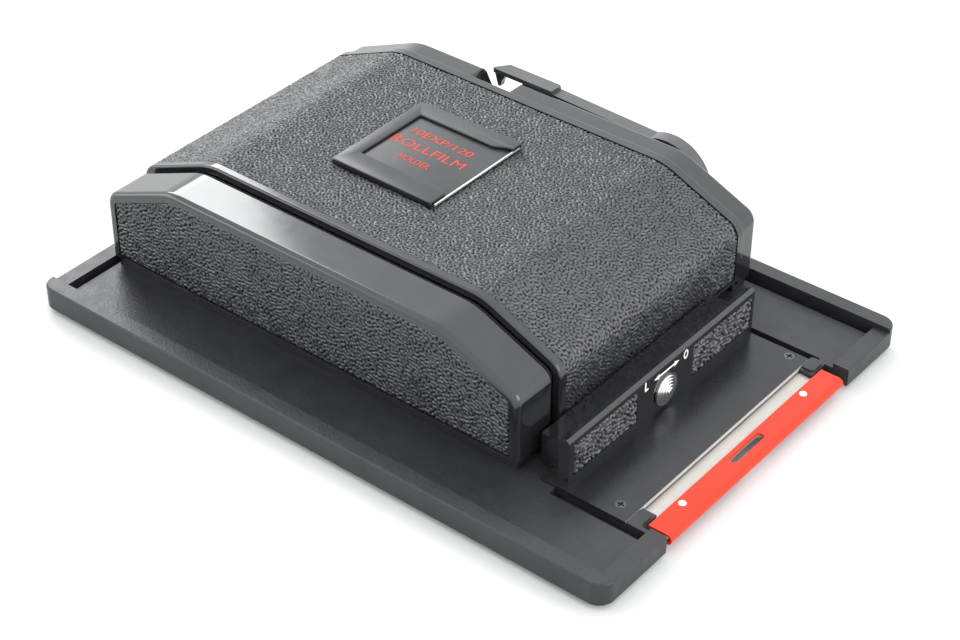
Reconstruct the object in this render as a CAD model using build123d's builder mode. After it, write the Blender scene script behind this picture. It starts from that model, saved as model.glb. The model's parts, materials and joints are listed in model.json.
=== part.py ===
"""120 roll-film holder on a 4x5 inch camera-back plate, as an assembly of separate pieces.

Frame: +X along the plate towards the dark slide's handle, +Y across it towards the winding
lever, +Z up from the face that lies on the camera. The origin is under the plate's centre, on
the plane of the ribs that the holder rests on. Millimetres.
"""
from build123d import *
import os
from math import atan2, cos, degrees, hypot, pi, radians, sin

# Heights are measured from the plate's underside; level() turns them into Z.
rib_height = 1.3

# plate
plate_length = 171.0
plate_width = 120.0
plate_corner = 4.0
side_rim_height = 6.0
end_rim_height = 4.8
floor_height = 3.5
groove_height = 1.3
groove_width = 2.0
end_groove_width = 1.6
front_groove_width = 2.4
front_groove_start = 56.5
rim_inner_y = 55.7
rim_inner_x = 81.2
edge_round = 0.6
rib_width = 1.8
rib_places = (-75.0, 54.0, 75.0)
rib_half = 58.5
base_screw_places = (-68.0, 42.0)
base_screw_y = 34.6
base_screw_radius = 0.8
base_screw_head = 1.85
base_screw_slot = 0.4

# film format and body position
body_x = -16.65
gate_length = 69.6
gate_width = 56.0

# dark slide and its channel
slide_half_width = 31.4
slide_low = 2.0
slide_thick = 0.6
slide_start = -57.0
slide_end = 83.2
channel_gap = 0.12
channel_half_width = 31.6
handle_x = 79.3
handle_half = 35.1
handle_thick = 0.7
curl_radius = 1.4
curl_wall = 0.5
notch_half = 37.1
notch_x = 79.0
rivet_x = 80.9
rivet_y = 24.6
rivet_radius = 0.8
rivet_head = 0.95
hang_slot_x = 81.5
hang_slot_length = 12.6
hang_slot_width = 2.1
felt_start_x = 70.0
felt_end_x = 72.0
felt_half = 31.0
felt_low = 1.3

# metal panel over the slide channel
panel_low = 2.8
panel_top = 4.0
panel_start = 52.2
panel_end = 75.3
panel_near_y = -38.2
panel_far_y = 35.9
panel_screw_x = 71.1
panel_screw_y = 34.0
panel_screw_radius = 0.7
panel_screw_head = 1.35
panel_screw_length = 3.2
ear_end_x = 78.6
ear_inner_y = 32.4
ear_corner = 1.1

# side outline of the hump
hump_half = 63.85
hump_top_half = 42.0
shoulder_height = 24.2
top_height = 33.5
shoulder_round = 4.0
top_round = 15.0

# cheeks beside the cover
cheek_bottom = 6.3
cheek_wall = 1.2
cheek_side_wall = 1.6
far_cheek_wall = 6.0
inlay_bottom = 7.0
skirt_near_y = -38.9
skirt_start_x = -79.3
skirt_end_x = 46.0
skirt_wall = 1.2
skirt_overlap = 0.5
near_outer_y = -40.0
near_step_y = -27.9
cheek_round = 1.5
cover_round = 0.6
near_inner_y = -26.5
far_inner_y = 47.4
far_outer_y = 53.9
far_leather_end_x = -39.0
bushing_radius = 4.5
inlay_border = 2.5
leather_thick = 0.7
far_leather_thick = 0.4

# hinged cover
cover_near_y = -26.1
cover_far_y = 47.1
bead_width = 2.1
far_bead_width = 2.7
cover_bottom = 9.0
cover_leather_bottom = 9.8
shell_inner = -1.2
shell_outer = 0.2
bead_outer = 1.0
hinge_x = -80.6
hinge_height = 7.0
knuckle_radius = 1.8
hinge_pin_radius = 0.8
hinge_leaf_x = (-78.7, -78.2)
hinge_leaf_top = 12.0
hinge_tongue = 0.8
running_gap = 0.05

# film chamber and spools
chamber_start_x = -78.9
chamber_end_x = 51.9
chamber_half = 36.0
end_walls = ((-78.2, -77.1), (43.8, 44.9))
end_wall_height = 21.0
film_rail_y = 29.5
film_rail_width = 1.2
film_rail_height = 0.25
film_rail_inset = 1.5
wall_inner_y = 33.4
wall_outer_y = 35.8
wall_grow = -2.45
chamber_floor_top = 3.35
spool_offset = 47.85
spool_height = 15.95
flange_radius = 12.45
flange_thick = 1.2
leader_slot_half = 22.0
leader_slot_width = 1.4
key_slot_half = 5.2
key_slot_depth = 1.3
key_slot_width = 2.1
spool_half = 32.7
core_radius = 5.9
spool_bore = 3.1
pin_radius = 2.9
pin_tip_y = 31.2
pin_tip_chamfer = 0.6
pin_head_y = 36.2
pin_head_radius = 4.4
pin_head_thick = 0.35
idler_end_y = 36.6
idler_head_radius = 5.0
roller_offset = 35.9
roller_height = 5.75
roller_radius = 2.2
roller_half = 31.0
axle_radius = 0.8
axle_half = 35.2

# pressure plate, its bridge and springs
plate_start_x = -48.0
plate_end_x = 14.7
plate_half = 31.0
plate_low = 4.0
plate_high = 5.0
guide_y = 15.0
guide_radius = 1.2
guide_top = 15.5
bridge_half = 7.0
bridge_low = 12.0
bridge_sheet = 1.2
bridge_leg_y = 32.4
bridge_leg_top = 18.0
spring_low = 5.35
spring_pitch = 1.5
spring_length = 6.3
spring_radius = 2.1
spring_wire = 0.3

# winding drive
lever_x = 19.2
lever_height = 21.2
lever_teeth = 20
spool_teeth = 16
takeup_shaft_radius = 1.9
counter_shaft_radius = 1.2
gear_near_y = 37.0
gear_far_y = 40.0
lever_disc_radius = 11.9
lever_arm_bottom = 28.2
lever_arm_tip_top = 33.0
lever_arm_disc_top = 32.0
lever_near_y = 54.5
lever_far_y = 58.2
lever_bore = 2.4
cap_radius = 8.6
cap_far_y = 59.2
lever_tip_x = -35.4
lever_tip_end_x = -16.0
lever_tip_near_y = 54.3
lever_tip_far_y = 58.4
lever_tip_top = 33.9
lever_tip_sheet = 1.2
mechanism_start_x = -62.0
mechanism_end_x = 36.0
mechanism_top = 27.0
mechanism_posts = (-58.0, -10.0, 2.0)
mechanism_post_height = 8.0
mechanism_post_radius = 2.2
mechanism_near_y = 42.8
mechanism_far_y = 44.0

# finger scoop in the far cheek, beside the lever's tip: places along X, and its floor
scoop_high_x = -37.3
scoop_low_x = -34.5
scoop_end_x = -24.5
scoop_floor = 28.4
scoop_round = 2.0

# exposure counter
counter_x = -50.0
counter_height = 18.5
counter_radius = 8.0
counter_near_y = 50.0
counter_far_y = 50.8
counter_hub_y = 44.2
counter_hub_radius = 2.0
counter_window_height = 24.0
counter_window_radius = 2.6
release_x = -66.0
release_height = 14.0
release_radius = 2.5
release_near_y = 50.4
release_collar = 1.1

# latch
housing_rear_x = 48.8
housing_front_x = 58.9
housing_near_y = -36.9
housing_far_y = 36.2
housing_top = 16.7
rail_crest_x = 57.9
rail_rear_height = 15.7
rail_round = 0.9
housing_wall = 1.2
trough_height = 12.0
button_y = -0.2
button_height = 9.0
button_flange = 4.1
button_rings = (3.6, 3.0, 2.4, 1.7, 1.0)
ring_step = 0.26
latch_wall_x = 56.0
latch_box_half = 33.4
latch_inlays = ((-35.0, -11.3), (10.8, 35.2))
latch_inlay_low = 6.1
latch_inlay_high = 14.8
latch_inlay_depth = 0.5
latch_pin_x = 56.9
latch_pin_y = 20.1
latch_pin_top = 16.2
latch_pin_radius = 0.6
catch_places = (-16.0, 16.0)
latch_travel = 3.0
latch_bar_x = (50.6, 52.0)
latch_bar_y = (-14.0, 22.0)
latch_bar_heights = (6.6, 10.4)
hook_window_low = 7.0
hook_window_high = 8.8
hook_play = 0.3
stem_radius = 1.2

# memo clip
clip_border_x = 3.9
clip_border_near = 6.4
clip_border_far = 5.4
card_thick = 0.5
card_inset = 0.7
clip_low_x = -36.3
clip_high_x = -4.5
clip_near_y = -6.5
clip_far_y = 27.6
clip_floor = 0.3
clip_sheet = 0.45
clip_height = 1.5


def level(height):
    """Z of a height measured from the plate's underside."""
    return rib_height + height


def slab(x_low, x_high, y_low, y_high, low, high, mode=Mode.ADD):
    """Block between two heights, in the part being built."""
    middle = ((x_low + x_high) / 2, (y_low + y_high) / 2, level(low))
    with Locations(middle):
        Box(x_high - x_low, y_high - y_low, high - low,
            align=(Align.CENTER, Align.CENTER, Align.MIN), mode=mode)


def rod(x, height, y_low, y_high, radius, mode=Mode.ADD):
    """Round bar along Y, in the part being built."""
    with Locations(Location((x, y_low, level(height)), (-90, 0, 0))):
        Cylinder(radius, y_high - y_low,
                 align=(Align.CENTER, Align.CENTER, Align.MIN), mode=mode)


def stud(y, height, x_low, x_high, radius, mode=Mode.ADD):
    """Round bar along X, in the part being built."""
    with Locations(Location((x_low, y, level(height)), (0, 90, 0))):
        Cylinder(radius, x_high - x_low,
                 align=(Align.CENTER, Align.CENTER, Align.MIN), mode=mode)


def post(x, y, low, high, radius, mode=Mode.ADD):
    """Upright round bar, in the part being built."""
    with Locations((x, y, level(low))):
        Cylinder(radius, high - low,
                 align=(Align.CENTER, Align.CENTER, Align.MIN), mode=mode)


def hump(y_low, y_high, grow, bottom, mode=Mode.ADD):
    """Block with the hump's side outline grown outwards by `grow`, in the part being built."""
    slope = atan2(top_height - shoulder_height, hump_half - hump_top_half)
    end = hump_half + grow
    shoulder = shoulder_height + grow * (1 - sin(slope)) / cos(slope)
    crest_half = hump_top_half + grow * (1 - cos(slope)) / sin(slope)
    crest = top_height + grow
    shoulder_radius = max(shoulder_round + grow, 0.5)
    with BuildSketch(Plane.XZ.offset(-y_high)) as outline:
        with BuildLine():
            roof = FilletPolyline(
                (body_x - end, level(bottom)),
                (body_x - end, level(shoulder)),
                (body_x - crest_half, level(crest)),
                (body_x + crest_half, level(crest)),
                (body_x + end, level(shoulder)),
                (body_x + end, level(bottom)),
                radius=[shoulder_radius, top_round + grow, top_round + grow, shoulder_radius])
            Line(roof @ 1, roof @ 0)
        make_face()
    extrude(outline.sketch, amount=y_high - y_low, mode=mode)


def scoop(y_low, y_high):
    """Cuts the finger scoop out of the part being built."""
    above = top_height + 4
    lean = (scoop_low_x - scoop_high_x) / (top_height - scoop_floor)
    with BuildSketch(Plane.XZ.offset(-y_high)) as outline:
        with BuildLine():
            sides = FilletPolyline(
                (scoop_high_x - lean * (above - top_height), level(above)),
                (scoop_low_x, level(scoop_floor)),
                (scoop_end_x, level(scoop_floor)),
                (scoop_end_x, level(above)),
                radius=scoop_round)
            Line(sides @ 1, sides @ 0)
        make_face()
    extrude(outline.sketch, amount=y_high - y_low, mode=Mode.SUBTRACT)


def flat_screw(x, y, top, length, head_radius, shank_radius):
    """Countersunk cross-head screw pointing down, in the part being built."""
    head = head_radius - shank_radius
    with Locations((x, y, level(top - head))):
        Cone(shank_radius, head_radius, head,
             align=(Align.CENTER, Align.CENTER, Align.MIN))
    post(x, y, top - length, top - head, shank_radius)
    arm = head_radius * 0.62
    groove = head_radius * 0.16
    slab(x - arm, x + arm, y - groove, y + groove, top - 0.45, top + 1, Mode.SUBTRACT)
    slab(x - groove, x + groove, y - arm, y + arm, top - 0.45, top + 1, Mode.SUBTRACT)


def spur_gear(x, height, teeth, module, bore, first_tooth):
    """Spur gear on an axle along Y, with a tooth centred on the angle first_tooth."""
    pitch_radius = module * teeth / 2
    root_radius = pitch_radius - 1.15 * module
    tip_radius = pitch_radius + 0.8 * module
    root_half = 0.27 * pi * module
    tip_half = 0.1 * pi * module
    gear_plane = Plane(origin=(x, gear_far_y, level(height)), x_dir=(1, 0, 0), z_dir=(0, -1, 0))
    with BuildSketch(gear_plane) as disc:
        Circle(root_radius)
        with PolarLocations(0, teeth, start_angle=first_tooth):
            Polygon((root_radius - 0.3, -root_half), (tip_radius, -tip_half),
                    (tip_radius, tip_half), (root_radius - 0.3, root_half), align=None)
        Circle(bore, mode=Mode.SUBTRACT)
    extrude(disc.sketch, amount=gear_far_y - gear_near_y)


supply_x = body_x - spool_offset
takeup_x = body_x + spool_offset
roller_places = (body_x - roller_offset, body_x + roller_offset)
gate_low_x = body_x - gate_length / 2
gate_high_x = body_x + gate_length / 2
slide_high = slide_low + slide_thick
channel_low = slide_low - channel_gap

# ------------------------------------------------------------------ plate and dark slide

with BuildPart() as base_plate:
    with BuildSketch(Plane.XY.offset(level(0))):
        RectangleRounded(plate_length, plate_width, plate_corner)
    extrude(amount=side_rim_height)
    fillet(base_plate.edges().group_by(Axis.Z)[-1], edge_round)
    fillet(base_plate.edges().group_by(Axis.Z)[0], edge_round / 2)
    # the two ends are lower than the side rims
    slab(-plate_length, plate_length, -rim_inner_y, rim_inner_y,
         end_rim_height, side_rim_height + 1, Mode.SUBTRACT)
    for end in (-plate_length / 2, plate_length / 2):
        chamfer(base_plate.edges().filter_by(Axis.Y).filter_by_position(
            Axis.Z, level(end_rim_height) - 0.01, level(end_rim_height) + 0.01)
            .filter_by_position(Axis.X, end - 0.1, end + 0.1), edge_round / 2)
    # floor, and the grooves around it
    slab(-rim_inner_x, rim_inner_x, -rim_inner_y, rim_inner_y,
         floor_height, side_rim_height, Mode.SUBTRACT)
    for side in (-1, 1):
        slab(-rim_inner_x, rim_inner_x, side * rim_inner_y - (side > 0) * groove_width,
             side * rim_inner_y + (side < 0) * groove_width,
             groove_height, side_rim_height, Mode.SUBTRACT)
    slab(-rim_inner_x, -rim_inner_x + end_groove_width, -rim_inner_y, rim_inner_y,
         groove_height, side_rim_height, Mode.SUBTRACT)
    slab(front_groove_start, rim_inner_x, panel_near_y - front_groove_width, panel_near_y,
         groove_height, floor_height + 1, Mode.SUBTRACT)
    slab(front_groove_start, notch_x - 2, panel_far_y, panel_far_y + front_groove_width,
         groove_height, floor_height + 1, Mode.SUBTRACT)
    # pads level with the panel beside the slot for the dark slide
    slab(panel_end, rim_inner_x + 0.5, panel_near_y, -notch_half + 0.6,
         floor_height - 0.5, panel_top)
    for side in (-1, 1):
        with BuildSketch(Plane.XY.offset(level(channel_low))) as ear:
            with Locations(((panel_end + ear_end_x) / 2, side * (ear_inner_y + notch_half) / 2)):
                RectangleRounded(ear_end_x - panel_end, notch_half - ear_inner_y, ear_corner)
        extrude(ear.sketch, amount=panel_top - channel_low)
    # seat of the film chamber and of the panel, and the channel of the dark slide
    slab(chamber_start_x - 0.5, panel_end + 0.1, -chamber_half - 0.1, chamber_half + 0.1,
         panel_low - 0.05, side_rim_height, Mode.SUBTRACT)
    slab(panel_start - 0.1, panel_end + 0.1, panel_near_y, panel_far_y,
         panel_low, side_rim_height, Mode.SUBTRACT)
    slab(slide_start - 0.5, plate_length, -channel_half_width, channel_half_width,
         channel_low, side_rim_height, Mode.SUBTRACT)
    slab(notch_x, plate_length, -notch_half, notch_half, -1, side_rim_height + 1, Mode.SUBTRACT)
    slab(gate_low_x, gate_high_x, -gate_width / 2, gate_width / 2, -1, floor_height,
         Mode.SUBTRACT)
    slab(felt_start_x, felt_end_x, -felt_half, felt_half, felt_low, slide_high, Mode.SUBTRACT)
    for rib_x in rib_places:
        slab(rib_x - rib_width / 2, rib_x + rib_width / 2, -rib_half, rib_half,
             -rib_height, 0.01)
    for side in (-1, 1):
        post(panel_screw_x, side * panel_screw_y, -0.1, panel_top, panel_screw_radius,
             Mode.SUBTRACT)
        for screw_x in base_screw_places:
            post(screw_x, side * base_screw_y, -0.1, panel_low, base_screw_radius + 0.1,
                 Mode.SUBTRACT)
            with Locations((screw_x, side * base_screw_y, level(0))):
                Cone(base_screw_head + 0.05, base_screw_radius + 0.1, 1.0,
                     align=(Align.CENTER, Align.CENTER, Align.MIN), mode=Mode.SUBTRACT)

with BuildPart() as slide_cover_panel:
    slab(panel_start, panel_end, panel_near_y + 0.05, panel_far_y - 0.05, panel_low, panel_top)
    for side in (-1, 1):
        post(panel_screw_x, side * panel_screw_y, 0, panel_top, panel_screw_radius + 0.05,
             Mode.SUBTRACT)
        seat_depth = panel_screw_head - panel_screw_radius + 0.05
        with Locations((panel_screw_x, side * panel_screw_y, level(panel_top - seat_depth))):
            Cone(panel_screw_radius + 0.05, panel_screw_head + 0.1, seat_depth,
                 align=(Align.CENTER, Align.CENTER, Align.MIN), mode=Mode.SUBTRACT)

with BuildPart() as panel_screws:
    for side in (-1, 1):
        flat_screw(panel_screw_x, side * panel_screw_y, panel_top - 0.05,
                   panel_screw_length, panel_screw_head, panel_screw_radius)

with BuildPart() as base_screws:
    for side in (-1, 1):
        for screw_x in base_screw_places:
            with Locations((screw_x, side * base_screw_y, level(0.05))):
                Cone(base_screw_head, base_screw_radius + 0.05, 1.0,
                     align=(Align.CENTER, Align.CENTER, Align.MIN))
            post(screw_x, side * base_screw_y, 1.05, 6.5, base_screw_radius)
            slab(screw_x - 1.2, screw_x + 1.2, side * base_screw_y - base_screw_slot / 2,
                 side * base_screw_y + base_screw_slot / 2, -0.5, 0.5, Mode.SUBTRACT)

with BuildPart() as light_trap_felt:
    slab(felt_start_x + 0.1, felt_end_x - 0.1, 0.1 - felt_half, felt_half - 0.1,
         felt_low, channel_low + 0.05)

with BuildSketch(Plane.XY.offset(level(0))) as hang_slot:
    with Locations((hang_slot_x, 0)):
        SlotOverall(hang_slot_length, hang_slot_width, rotation=90)

with BuildPart() as dark_slide_sheet:
    slab(slide_start, slide_end, -slide_half_width, slide_half_width, slide_low, slide_high)
    extrude(hang_slot.sketch, amount=handle_thick + slide_high + 1, mode=Mode.SUBTRACT)
    for side in (-1, 1):
        post(rivet_x, side * rivet_y, 0, slide_high + 1, rivet_radius, Mode.SUBTRACT)

curl_x = plate_length / 2 - curl_radius
handle_top = slide_high + handle_thick
with BuildPart() as dark_slide_handle:
    slab(handle_x, curl_x, -handle_half, handle_half, slide_high, handle_top)
    rod(curl_x, handle_top - curl_radius, -handle_half, handle_half, curl_radius)
    rod(curl_x, handle_top - curl_radius, -handle_half - 1, handle_half + 1,
        curl_radius - curl_wall, Mode.SUBTRACT)
    slab(curl_x - curl_radius, curl_x - 0.3, -handle_half, handle_half,
         handle_top - 2 * curl_radius - 0.1, slide_high, Mode.SUBTRACT)
    extrude(hang_slot.sketch, amount=handle_top + 1, mode=Mode.SUBTRACT)
    for side in (-1, 1):
        post(rivet_x, side * rivet_y, 0, handle_top + 1, rivet_radius, Mode.SUBTRACT)

with BuildPart() as handle_rivets:
    for side in (-1, 1):
        post(rivet_x, side * rivet_y, slide_low - 0.05, handle_top, rivet_radius)
        with Locations((rivet_x, side * rivet_y, level(handle_top))):
            Cone(rivet_head, rivet_radius, 0.15, align=(Align.CENTER, Align.CENTER, Align.MIN))

# ------------------------------------------------------------------ film chamber

with BuildPart() as film_chamber:
    slab(chamber_start_x, chamber_end_x, -chamber_half, chamber_half,
         panel_low - 0.05, chamber_floor_top)
    for side in (-1, 1):
        hump(min(side * wall_inner_y, side * wall_outer_y),
             max(side * wall_inner_y, side * wall_outer_y), wall_grow, chamber_floor_top)
        slab(gate_low_x + film_rail_inset, gate_high_x - film_rail_inset,
             side * film_rail_y - film_rail_width / 2, side * film_rail_y + film_rail_width / 2,
             chamber_floor_top, chamber_floor_top + film_rail_height)
    for wall_start, wall_end in end_walls:
        slab(wall_start, wall_end, -wall_inner_y, wall_inner_y, chamber_floor_top,
             end_wall_height)
    slab(gate_low_x, gate_high_x, -gate_width / 2, gate_width / 2, 0, 5, Mode.SUBTRACT)
    for roller_x in roller_places:
        rod(roller_x, roller_height, -40, 40, axle_radius + running_gap, Mode.SUBTRACT)
    for spool_x in (supply_x, takeup_x):
        rod(spool_x, spool_height, -40, 40, pin_radius + running_gap, Mode.SUBTRACT)
    for side in (-1, 1):
        for screw_x in base_screw_places:
            post(screw_x, side * base_screw_y, 0, 6.6, base_screw_radius, Mode.SUBTRACT)

end_rollers = []
for roller_x in roller_places:
    with BuildPart() as roller:
        rod(roller_x, roller_height, -roller_half, roller_half, roller_radius)
        rod(roller_x, roller_height, -axle_half, axle_half, axle_radius)
    end_rollers.append(roller)

film_spools = []
for spool_x in (supply_x, takeup_x):
    with BuildPart() as spool:
        rod(spool_x, spool_height, -spool_half, spool_half, core_radius)
        for side in (-1, 1):
            flange_near = min(side * spool_half, side * (spool_half - flange_thick))
            rod(spool_x, spool_height, flange_near, flange_near + flange_thick, flange_radius)
        rod(spool_x, spool_height, -40, 40, spool_bore, Mode.SUBTRACT)
        # slot through the core for the film leader, key slots in both ends
        slab(spool_x - leader_slot_width / 2, spool_x + leader_slot_width / 2,
             -leader_slot_half, leader_slot_half,
             spool_height - core_radius - 1, spool_height + core_radius + 1, Mode.SUBTRACT)
        for side in (-1, 1):
            key_y = min(side * spool_half, side * (spool_half - key_slot_depth))
            slab(spool_x - key_slot_half, spool_x + key_slot_half, key_y, key_y + key_slot_depth,
                 spool_height - key_slot_width / 2, spool_height + key_slot_width / 2,
                 Mode.SUBTRACT)
    film_spools.append(spool)

spool_pins = []
for spool_x in (supply_x, takeup_x):
    with BuildPart() as spool_pin:
        rod(spool_x, spool_height, -pin_head_y, -pin_tip_y, pin_radius)
        rod(spool_x, spool_height, -pin_head_y, pin_head_thick - pin_head_y, pin_head_radius)
        chamfer(spool_pin.edges().group_by(Axis.Y)[-1], pin_tip_chamfer)
    spool_pins.append(spool_pin)

with BuildPart() as supply_idler:
    rod(supply_x, spool_height, pin_tip_y, idler_end_y, pin_radius)
    rod(supply_x, spool_height, wall_outer_y, idler_end_y, idler_head_radius)
    chamfer(supply_idler.edges().group_by(Axis.Y)[0], pin_tip_chamfer)

with BuildPart() as pressure_plate:
    slab(plate_start_x, plate_end_x, -plate_half, plate_half, plate_low, plate_high)
    for side in (-1, 1):
        post(body_x, side * guide_y, plate_high - 0.5, guide_top, guide_radius)

with BuildPart() as pressure_bridge:
    slab(body_x - bridge_half, body_x + bridge_half, -wall_inner_y, wall_inner_y,
         bridge_low, bridge_low + bridge_sheet)
    for side in (-1, 1):
        slab(body_x - bridge_half, body_x + bridge_half,
             min(side * bridge_leg_y, side * wall_inner_y),
             max(side * bridge_leg_y, side * wall_inner_y), bridge_low, bridge_leg_top)
        post(body_x, side * guide_y, bridge_low - 1, bridge_low + bridge_sheet + 1,
             guide_radius + 0.1, Mode.SUBTRACT)

with BuildPart() as pressure_springs:
    for side in (-1, 1):
        with BuildLine(Plane((body_x, side * guide_y, level(spring_low)))) as coil:
            Helix(spring_pitch, spring_length, spring_radius)
        with BuildSketch(Plane(coil.line @ 0, z_dir=coil.line % 0)) as wire:
            Circle(spring_wire)
        sweep(wire.sketch, path=coil.line, is_frenet=True)

# ------------------------------------------------------------------ cheeks

with BuildPart() as near_cheek:
    hump(near_outer_y, near_step_y, 0, cheek_bottom)
    fillet(near_cheek.edges().group_by(Axis.Y)[0]
           .filter_by(lambda edge: edge.center().Z > level(cheek_bottom) + 0.1), cheek_round)
    fillet(near_cheek.edges().group_by(Axis.Y)[-1]
           .filter_by(lambda edge: edge.center().Z > level(cheek_bottom) + 0.1), cover_round)
    hump(near_step_y, near_inner_y, shell_inner, cheek_bottom)
    hump(near_outer_y + cheek_side_wall, near_step_y - 0.7, -cheek_wall, 0, Mode.SUBTRACT)
    hump(near_step_y - 0.8, near_inner_y + 1, shell_inner - 1.1, 0, Mode.SUBTRACT)
    hump(near_outer_y - 1, near_outer_y + leather_thick, -inlay_border, inlay_bottom,
         Mode.SUBTRACT)
    # recessed skirt down to the plate's floor
    slab(skirt_start_x, skirt_end_x, skirt_near_y, skirt_near_y + 1.5,
         floor_height, cheek_bottom + skirt_overlap)
    slab(skirt_start_x, chamber_start_x, skirt_near_y, near_inner_y,
         floor_height, cheek_bottom + skirt_overlap)
    slab(skirt_end_x - 0.7, skirt_end_x + 0.3, skirt_near_y, near_inner_y,
         panel_top + 0.2, cheek_bottom + skirt_overlap)

with BuildPart() as near_cheek_leather:
    hump(near_outer_y, near_outer_y + leather_thick, -inlay_border - 0.05, inlay_bottom + 0.05)

with BuildPart() as far_cheek:
    hump(far_inner_y, far_outer_y, 0, cheek_bottom)
    fillet(far_cheek.edges().group_by(Axis.Y)[-1]
           .filter_by(lambda edge: edge.center().Z > level(cheek_bottom) + 0.1), cheek_round)
    hump(far_inner_y - 1, far_outer_y - cheek_side_wall, -far_cheek_wall, 0, Mode.SUBTRACT)
    slab(skirt_start_x, skirt_end_x, far_outer_y - 2.6, far_outer_y - 1.1,
         floor_height, cheek_bottom + skirt_overlap)
    for skirt_x in (skirt_start_x, skirt_end_x - skirt_wall):
        slab(skirt_x, skirt_x + skirt_wall, far_inner_y, far_outer_y - 1.1,
             floor_height, cheek_bottom + skirt_overlap)
    scoop(far_inner_y - 1, far_outer_y + 1)
    rod(lever_x, lever_height, far_inner_y, far_outer_y + 1, bushing_radius, Mode.SUBTRACT)
    rod(counter_x, counter_window_height, far_inner_y, far_outer_y + 1, counter_window_radius,
        Mode.SUBTRACT)
    rod(release_x, release_height, far_inner_y, far_outer_y + 1, release_radius + 0.1,
        Mode.SUBTRACT)

with BuildPart() as far_cheek_leather:
    hump(far_outer_y, far_outer_y + far_leather_thick, -inlay_border, inlay_bottom)
    slab(far_leather_end_x, plate_length, far_outer_y - 1, far_outer_y + 1, 0, 2 * top_height,
         Mode.SUBTRACT)
    rod(counter_x, counter_window_height, far_outer_y - 1, far_outer_y + 2,
        counter_window_radius + 0.8, Mode.SUBTRACT)
    rod(release_x, release_height, far_outer_y - 1, far_outer_y + 2, release_radius + 0.9,
        Mode.SUBTRACT)

# ------------------------------------------------------------------ hinged cover

with BuildPart() as cover_shell:
    hump(cover_near_y, cover_far_y, shell_outer, cover_bottom)
    hump(cover_near_y, cover_near_y + bead_width, bead_outer, cover_bottom)
    hump(cover_far_y - far_bead_width, cover_far_y, bead_outer, cover_bottom)
    for end in (0, -1):
        fillet(cover_shell.edges().group_by(Axis.Y)[end]
               .filter_by(lambda edge: edge.center().Z > level(cover_bottom) + 0.1), cover_round)
    for side in (-1, 1):
        rim_low = body_x + side * (hump_half + 0.5) - 0.5
        slab(rim_low, rim_low + 1, cover_near_y + 1, cover_far_y - 1,
             cover_bottom, cover_leather_bottom)
    hump(cover_near_y - 1, cover_far_y + 1, shell_inner, 0, Mode.SUBTRACT)

with BuildPart() as cover_leather:
    hump(cover_near_y + bead_width, cover_far_y - far_bead_width, bead_outer,
         cover_leather_bottom)
    hump(cover_near_y, cover_far_y, shell_outer, 0, Mode.SUBTRACT)

# knuckles alternate along the hinge, from cover_near_y + 1 to cover_far_y - 1
knuckle_count = 7
knuckle_pitch = (cover_far_y - cover_near_y - 2) / knuckle_count
with BuildPart() as hinge_leaf_body:
    slab(hinge_leaf_x[0], hinge_leaf_x[1], cover_near_y + 1.1, cover_far_y - 1.1,
         hinge_height - knuckle_radius, hinge_leaf_top)
    for place in range(0, knuckle_count, 2):
        start = cover_near_y + 1 + place * knuckle_pitch
        rod(hinge_x, hinge_height, start + 0.1, start + knuckle_pitch - 0.1, knuckle_radius)
        slab(hinge_x, hinge_leaf_x[1], start + 0.1, start + knuckle_pitch - 0.1,
             hinge_height - knuckle_radius, hinge_height - knuckle_radius + hinge_tongue)
    rod(hinge_x, hinge_height, -60, 60, hinge_pin_radius, Mode.SUBTRACT)

with BuildPart() as hinge_leaf_cover:
    for place in range(1, knuckle_count, 2):
        start = cover_near_y + 1 + place * knuckle_pitch
        rod(hinge_x, hinge_height, start + 0.1, start + knuckle_pitch - 0.1, knuckle_radius)
        slab(hinge_x, hinge_x + 1.0, start + 0.1, start + knuckle_pitch - 0.1,
             hinge_height, cover_bottom)
    rod(hinge_x, hinge_height, -60, 60, hinge_pin_radius + running_gap, Mode.SUBTRACT)

with BuildPart() as hinge_pin:
    rod(hinge_x, hinge_height, cover_near_y + 1.05, cover_far_y - 1.05, hinge_pin_radius)

catch_x = body_x + hump_half + shell_inner
with BuildPart() as cover_catches:
    for catch_y in catch_places:
        slab(catch_x - 0.8, catch_x, catch_y - 2.5, catch_y + 2.5, 5.5, 14.0)
        slab(catch_x - 1, catch_x + 1, catch_y - 0.7, catch_y + 3,
             hook_window_low, hook_window_high, Mode.SUBTRACT)

# ------------------------------------------------------------------ latch

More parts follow.
